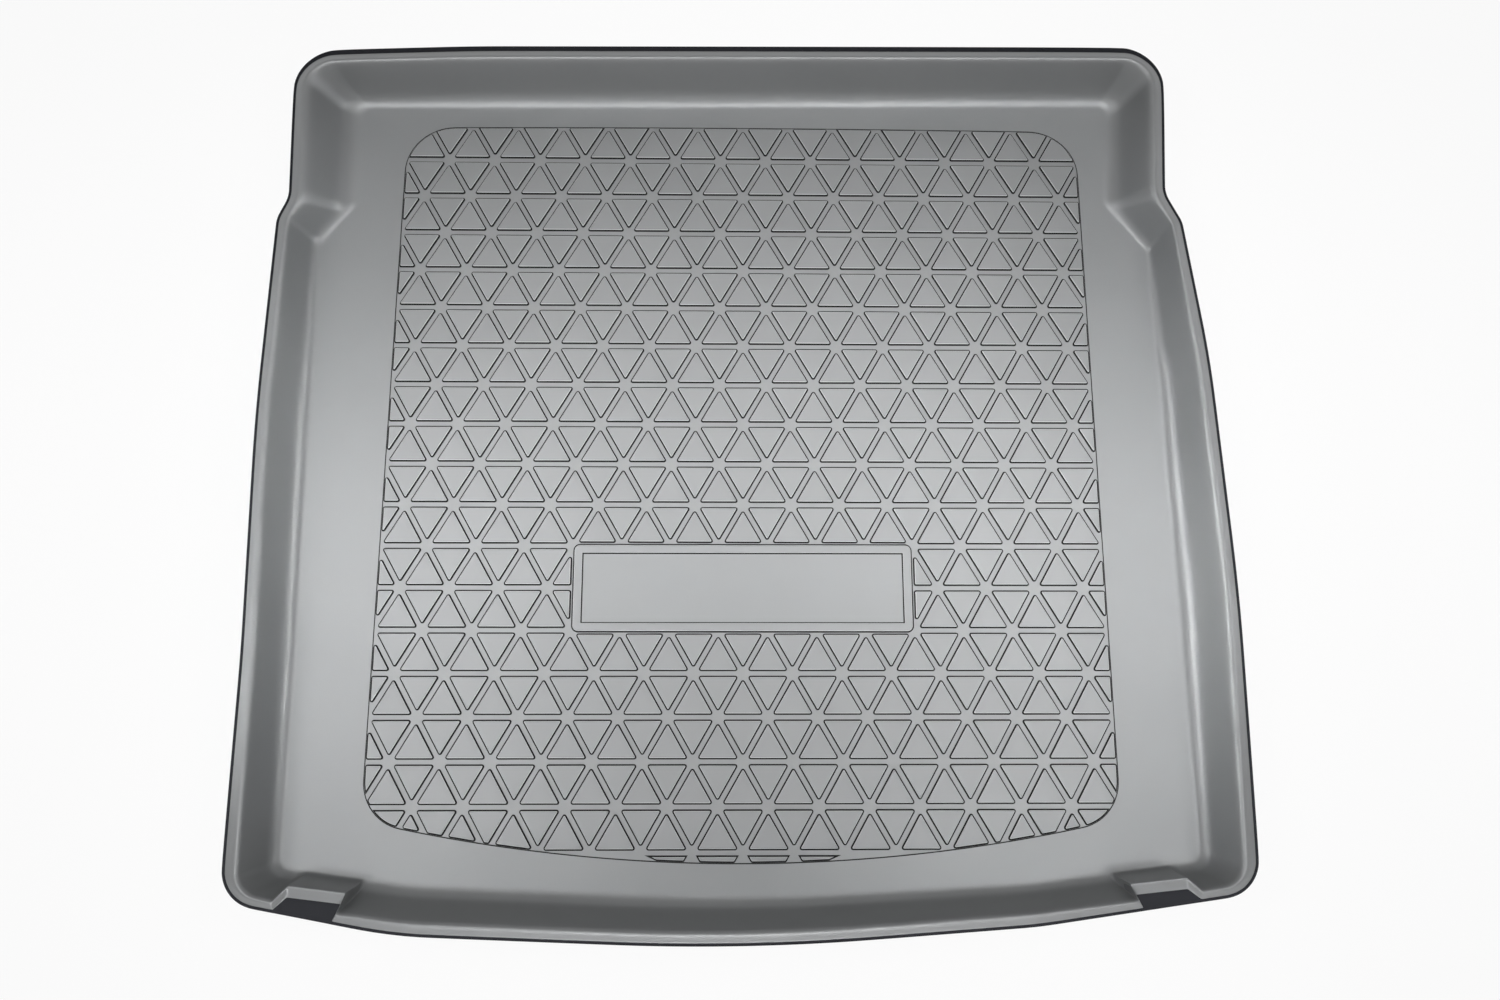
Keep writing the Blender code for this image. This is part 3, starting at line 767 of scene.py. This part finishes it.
def model_tray():
    """Rim, walls and underside, as rings that are bridged while they hang one above
    the other, set in their places and then subdivided. The floor is left open on both
    sides."""
    ring, notch = stations()
    upper = top_rings(ring)
    lower = under_rings(upper)
    crest = upper[CREST_RING]
    rings = [with_supports(level, crest, notch) for level in [*reversed(lower), *upper]]
    count = len(rings[0])
    points = [point for level in rings for point in level]
    apart = [Vector((point.x, point.y, k * RING_STEP))
             for k, level in enumerate(rings) for point in level]
    edges = [(k * count + i, k * count + (i + 1) % count)
             for k in range(len(rings)) for i in range(count)]
    tray = new_piece("liner_tray", apart, edges, [])
    bpy.ops.object.mode_set(mode="EDIT")
    for k in range(len(rings) - 1):
        select_vertices(tray, lambda vertex: k * count <= vertex.index < (k + 2) * count)
        bpy.ops.mesh.bridge_edge_loops()
    bpy.ops.object.mode_set(mode="OBJECT")
    for vertex, point in zip(tray.data.vertices, points):
        vertex.co = point
    trimmed = len(lower) - 1
    for k, weight in enumerate(HEM_CREASES, start=trimmed):
        crease_ring(tray, k, count, weight)
    for face in tray.data.polygons:
        face.material_index = band_finish(min(face.vertices) // count, trimmed)
    smooth = tray.modifiers.new("smooth", "SUBSURF")
    smooth.levels = SMOOTHING
    bpy.ops.object.modifier_apply(modifier=smooth.name)
    return tray


def model_studs():
    """Studs and plate frame, raised from flat outlines in small insets."""
    outlines = stud_bases()
    frame_corners = box_corners(PLATE_WIDTH / 2, PLATE_HEIGHT / 2)
    outlines.append(softened(frame_corners, PLATE_CORNER, PLATE_CORNER_STEPS))
    points, faces = [], []
    for outline in outlines:
        faces.append(range(len(points), len(points) + len(outline)))
        points.extend((x, y, PANEL_Z) for x, y in outline)
    studs = new_piece("studs", points, [], faces)
    bpy.ops.object.mode_set(mode="EDIT")
    bpy.ops.mesh.select_mode(type="FACE")
    bpy.ops.mesh.select_all(action="SELECT")
    for run, rise in STUD_SECTION:
        bpy.ops.mesh.inset(thickness=run * MM, depth=rise * MM, use_individual=True)
    select_faces(studs, lambda face: face.area > STUD_PITCH * STUD_ROW)
    bpy.ops.mesh.delete(type="ONLY_FACE")
    bpy.ops.object.mode_set(mode="OBJECT")
    # The studs' low sides get painted shade and their top edges a painted highlight
    paint_flank_shade_and_edge_highlight(studs)
    return studs


def paint_flank_shade_and_edge_highlight(piece):
    """Paint a piece's low sides near-black as shade in the grooves, and its tilted faces
    near the studs' tops pale as a painted highlight."""
    for face in piece.data.polygons:
        if face.normal.z < LEVEL_TILT:
            low = face.center.z < STUD_Z - PAINTED_HIGHLIGHT_DEPTH
            face.material_index = FLANK_PAINTED_SHADE if low else EDGE_PAINTED_HIGHLIGHT


def model_plate_field():
    """The field inside the plate's frame, pressed down to the panel."""
    corners = box_corners(PLATE_WIDTH / 2 - PLATE_FRAME, PLATE_HEIGHT / 2 - PLATE_FRAME)
    field = new_piece("plate_field", [(x, y, STUD_Z) for x, y in corners], [], [range(4)])
    bpy.ops.object.mode_set(mode="EDIT")
    bpy.ops.mesh.select_mode(type="FACE")
    bpy.ops.mesh.select_all(action="SELECT")
    for run, drop in FIELD_SECTION:
        bpy.ops.mesh.inset(thickness=run * MM, depth=-drop * MM)
    bpy.ops.object.mode_set(mode="OBJECT")
    # The field's sunken sides get painted shade and its top edge a painted highlight
    paint_flank_shade_and_edge_highlight(field)
    return field


def model_panel_step():
    """The low step around the stud panel, open inside."""
    outline = panel_outline(0.0)
    points = [(x, y, FLOOR_Z) for x, y in outline]
    step = new_piece("panel_step", points, [], [range(len(points))])
    bpy.ops.object.mode_set(mode="EDIT")
    bpy.ops.mesh.select_all(action="SELECT")
    bpy.ops.mesh.inset(thickness=PANEL_STEP_RUN, depth=PANEL_STEP)
    bpy.ops.mesh.delete(type="ONLY_FACE")
    bpy.ops.object.mode_set(mode="OBJECT")
    # The panel step's sloped face gets painted shade
    paint_flank_shade_and_edge_highlight(step)
    return step


def loop_length(loop):
    """Length of a closed loop of vertices."""
    return sum((vert.co - loop[i - 1].co).length for i, vert in enumerate(loop))


def open_loops(mesh, height):
    """Loops of open edges at one height, the longest first."""
    def at_height(edge):
        return all(abs(vert.co.z - height) < LEVEL_SLACK for vert in edge.verts)

    waiting = {edge for edge in mesh.edges if edge.is_boundary and at_height(edge)}
    loops = []
    while waiting:
        edge = waiting.pop()
        loop = [edge.verts[0]]
        vert = edge.verts[1]
        while vert != loop[0]:
            loop.append(vert)
            edge = next(other for other in vert.link_edges if other in waiting)
            waiting.remove(edge)
            vert = edge.other_vert(vert)
        loops.append(loop)
    return sorted(loops, key=loop_length, reverse=True)


def close_level(mesh, height, finish):
    """Fill the flat region inside the longest open loop at one height, around the
    others."""
    loops = open_loops(mesh, height)
    corners = [vert for loop in loops for vert in loop]
    owner = [n for n, loop in enumerate(loops) for vert in loop]
    flat = [vert.co.xy for vert in corners]
    sides = []
    start = 0
    for loop in loops:
        sides.extend((start + i, start + (i + 1) % len(loop)) for i in range(len(loop)))
        start += len(loop)
    inside_only = 1
    filled = delaunay_2d_cdt(flat, sides, [], inside_only, SAME_POINT)
    faces, origins = filled[2], filled[3]
    for face in faces:
        picked = [origins[i][0] for i in face]
        owners = {owner[i] for i in picked}
        if len(owners) > 1 or owners == {0}:
            added = mesh.faces.new([corners[i] for i in picked])
            added.material_index = finish


def join(parts, name):
    """Several pieces as one mesh."""
    deselect_all()
    for part in parts:
        part.select_set(True)
    bpy.context.view_layer.objects.active = parts[0]
    bpy.ops.object.join()
    whole = bpy.context.view_layer.objects.active
    whole.name = name
    return whole


def centring():
    """From the outline's middle, where it is drawn, to the middle of the frame."""
    edge = [station[0] for station in stations()[0]]
    middle = [(min(point[axis] for point in edge) + max(point[axis] for point in edge)) / 2
              for axis in (0, 1)]
    low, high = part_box("boot_liner")
    return ((low.x + high.x) / 2 - middle[0], (low.y + high.y) / 2 - middle[1], 0.0)


def model_liner():
    """The whole mat as one closed skin."""
    parts = [model_tray(), model_panel_step(), model_studs(), model_plate_field()]
    liner = join(parts, "liner_skin")
    mesh = bmesh.new()
    mesh.from_mesh(liner.data)
    close_level(mesh, 0.0, UNDERSIDE)
    for height in (FLOOR_Z, PANEL_Z, STUD_Z):
        close_level(mesh, height, UPPER_SIDE)
    mesh.to_mesh(liner.data)
    mesh.free()
    bpy.ops.object.mode_set(mode="EDIT")
    bpy.ops.mesh.select_all(action="SELECT")
    bpy.ops.mesh.normals_make_consistent(inside=False)
    bpy.ops.transform.translate(value=centring())
    bpy.ops.object.mode_set(mode="OBJECT")
    bpy.ops.object.shade_smooth_by_angle(angle=SHARP_ANGLE)
    weighted = liner.modifiers.new("flat_tops", "WEIGHTED_NORMAL")
    weighted.keep_sharp = True
    bpy.ops.object.modifier_apply(modifier=weighted.name)
    return liner


def grain_group():
    """Fine moulded grain: a height for bump and a slow mottling, both from 0 to 1."""
    group = bpy.data.node_groups.new("moulded grain", "ShaderNodeTree")
    face = group.interface
    face.new_socket("Position", in_out="INPUT", socket_type="NodeSocketVector")
    size = face.new_socket("Grains per metre", in_out="INPUT", socket_type="NodeSocketFloat")
    size.default_value = PEBBLE_SCALE
    face.new_socket("Height", in_out="OUTPUT", socket_type="NodeSocketFloat")
    face.new_socket("Mottle", in_out="OUTPUT", socket_type="NodeSocketFloat")
    nodes, links = group.nodes, group.links
    start = nodes.new("NodeGroupInput")
    end = nodes.new("NodeGroupOutput")
    pebbles = nodes.new("ShaderNodeTexVoronoi")
    pebbles.feature = "SMOOTH_F1"
    pebbles.inputs["Smoothness"].default_value = PEBBLE_SOFTNESS
    links.new(start.outputs["Position"], pebbles.inputs["Vector"])
    links.new(start.outputs["Grains per metre"], pebbles.inputs["Scale"])
    fuzz = nodes.new("ShaderNodeTexNoise")
    fuzz.inputs["Scale"].default_value = FUZZ_SCALE
    fuzz.inputs["Detail"].default_value = FUZZ_DETAIL
    links.new(start.outputs["Position"], fuzz.inputs["Vector"])
    height = nodes.new("ShaderNodeMix")
    height.inputs["Factor"].default_value = FUZZ_SHARE
    links.new(pebbles.outputs["Distance"], height.inputs["A"])
    links.new(fuzz.outputs["Fac"], height.inputs["B"])
    links.new(height.outputs["Result"], end.inputs["Height"])
    mottle = nodes.new("ShaderNodeTexNoise")
    mottle.inputs["Scale"].default_value = MOTTLE_SCALE
    mottle.inputs["Detail"].default_value = MOTTLE_DETAIL
    links.new(start.outputs["Position"], mottle.inputs["Vector"])
    links.new(mottle.outputs["Fac"], end.inputs["Mottle"])
    return group


def rubber(grain, name, dark, light, roughness, bump):
    """A moulded rubber finish: its two nearly equal tones, its range of roughness and
    the depth of its grain."""
    material = bpy.data.materials.new(name)
    material.use_nodes = True
    nodes, links = material.node_tree.nodes, material.node_tree.links
    shader = nodes["Principled BSDF"]
    shader.inputs["Metallic"].default_value = SATIN
    place = nodes.new("ShaderNodeTexCoord")
    texture = nodes.new("ShaderNodeGroup")
    texture.node_tree = grain
    links.new(place.outputs["Object"], texture.inputs["Position"])
    tone = nodes.new("ShaderNodeMix")
    tone.data_type = "RGBA"
    tone.inputs["A"].default_value = (*dark, 1.0)
    tone.inputs["B"].default_value = (*light, 1.0)
    links.new(texture.outputs["Mottle"], tone.inputs["Factor"])
    links.new(tone.outputs["Result"], shader.inputs["Base Color"])
    gloss = nodes.new("ShaderNodeMapRange")
    gloss.inputs["To Min"].default_value = roughness[0]
    gloss.inputs["To Max"].default_value = roughness[1]
    links.new(texture.outputs["Mottle"], gloss.inputs["Value"])
    links.new(gloss.outputs["Result"], shader.inputs["Roughness"])
    relief = nodes.new("ShaderNodeBump")
    relief.inputs["Strength"].default_value = 1.0
    relief.inputs["Distance"].default_value = bump
    links.new(texture.outputs["Height"], relief.inputs["Height"])
    links.new(relief.outputs["Normal"], shader.inputs["Normal"])
    return material


def studio_floor():
    """A pale floor that shows white to the camera and keeps a soft shadow."""
    deselect_all()
    bpy.ops.mesh.primitive_plane_add(size=STUDIO_SIZE, location=(0, 0, -FLOOR_CLEARANCE))
    floor = bpy.context.view_layer.objects.active
    floor.name = "studio_floor"
    material = bpy.data.materials.new("studio white")
    material.use_nodes = True
    nodes, links = material.node_tree.nodes, material.node_tree.links
    shader = nodes["Principled BSDF"]
    shader.inputs["Base Color"].default_value = FLOOR_TONE
    shader.inputs["Roughness"].default_value = FLOOR_ROUGHNESS
    shader.inputs["Specular IOR Level"].default_value = 0.0
    glow = nodes.new("ShaderNodeEmission")
    glow.inputs["Strength"].default_value = 1.0
    share = nodes.new("ShaderNodeMath")
    share.operation = "MULTIPLY"
    share.inputs[1].default_value = FLOOR_GLOW
    links.new(background_rays(nodes, links), share.inputs[0])
    blend = nodes.new("ShaderNodeMixShader")
    links.new(share.outputs["Value"], blend.inputs["Fac"])
    links.new(shader.outputs["BSDF"], blend.inputs[1])
    links.new(glow.outputs["Emission"], blend.inputs[2])
    links.new(blend.outputs["Shader"], nodes["Material Output"].inputs["Surface"])
    floor.data.materials.append(material)


def soft_box(name, place, aim, size, spread, power):
    """A rectangular studio lamp at place that shines at aim, over a spread in degrees."""
    lamp = bpy.data.lights.new(name, "AREA")
    lamp.shape = "RECTANGLE"
    lamp.size, lamp.size_y = size
    lamp.spread = math.radians(spread)
    lamp.energy = power
    holder = bpy.data.objects.new(name, lamp)
    holder.location = place
    holder.rotation_euler = (Vector(aim) - Vector(place)).to_track_quat("-Z", "Y").to_euler()
    bpy.context.scene.collection.objects.link(holder)


def background_rays(nodes, links):
    """One for rays that show the background, to the camera or in a gloss."""
    rays = nodes.new("ShaderNodeLightPath")
    glossy = nodes.new("ShaderNodeMath")
    glossy.operation = "MAXIMUM"
    links.new(rays.outputs["Is Camera Ray"], glossy.inputs[0])
    links.new(rays.outputs["Is Glossy Ray"], glossy.inputs[1])
    clear = nodes.new("ShaderNodeMath")
    clear.operation = "MAXIMUM"
    links.new(glossy.outputs["Value"], clear.inputs[0])
    links.new(rays.outputs["Is Transmission Ray"], clear.inputs[1])
    return clear.outputs["Value"]


def studio_surround():
    """A weak even surround that shows as a white wall near the horizon."""
    world = bpy.data.worlds.new("studio")
    world.use_nodes = True
    nodes, links = world.node_tree.nodes, world.node_tree.links
    air = nodes["Background"]
    place = nodes.new("ShaderNodeTexCoord")
    split = nodes.new("ShaderNodeSeparateXYZ")
    links.new(place.outputs["Generated"], split.inputs["Vector"])
    wall = nodes.new("ShaderNodeMapRange")
    wall.inputs["From Min"].default_value = WALL_TOP + WALL_FADE
    wall.inputs["From Max"].default_value = WALL_TOP
    links.new(split.outputs["Z"], wall.inputs["Value"])
    shown = nodes.new("ShaderNodeMath")
    shown.operation = "MULTIPLY"
    links.new(wall.outputs["Result"], shown.inputs[0])
    links.new(background_rays(nodes, links), shown.inputs[1])
    level = nodes.new("ShaderNodeMapRange")
    level.inputs["To Min"].default_value = SURROUND
    level.inputs["To Max"].default_value = 1.0
    links.new(shown.outputs["Value"], level.inputs["Value"])
    air.inputs["Color"].default_value = WHITE
    links.new(level.outputs["Result"], air.inputs["Strength"])
    bpy.context.scene.world = world


def studio_camera():
    """The photograph's view: almost straight down, from a little in front."""
    data = bpy.data.cameras.new("studio camera")
    data.sensor_width = SENSOR
    data.lens = SENSOR * FOCAL_PIXELS / PHOTO_WIDTH
    camera = bpy.data.objects.new("studio_camera", data)
    camera.location = CAMERA_PLACE
    camera.rotation_euler = Euler([math.radians(angle) for angle in CAMERA_TURN], "XYZ")
    bpy.context.scene.collection.objects.link(camera)
    bpy.context.scene.camera = camera


grain = grain_group()
FINISHES = [rubber(grain, *look) for look in FINISH_LOOKS]
liner = model_liner()
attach(liner, "root")
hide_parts("boot_liner")

studio_floor()
studio_surround()
for lamp in SOFT_BOXES:
    soft_box(*lamp)
studio_camera()
bpy.context.scene.view_settings.view_transform = "Standard"
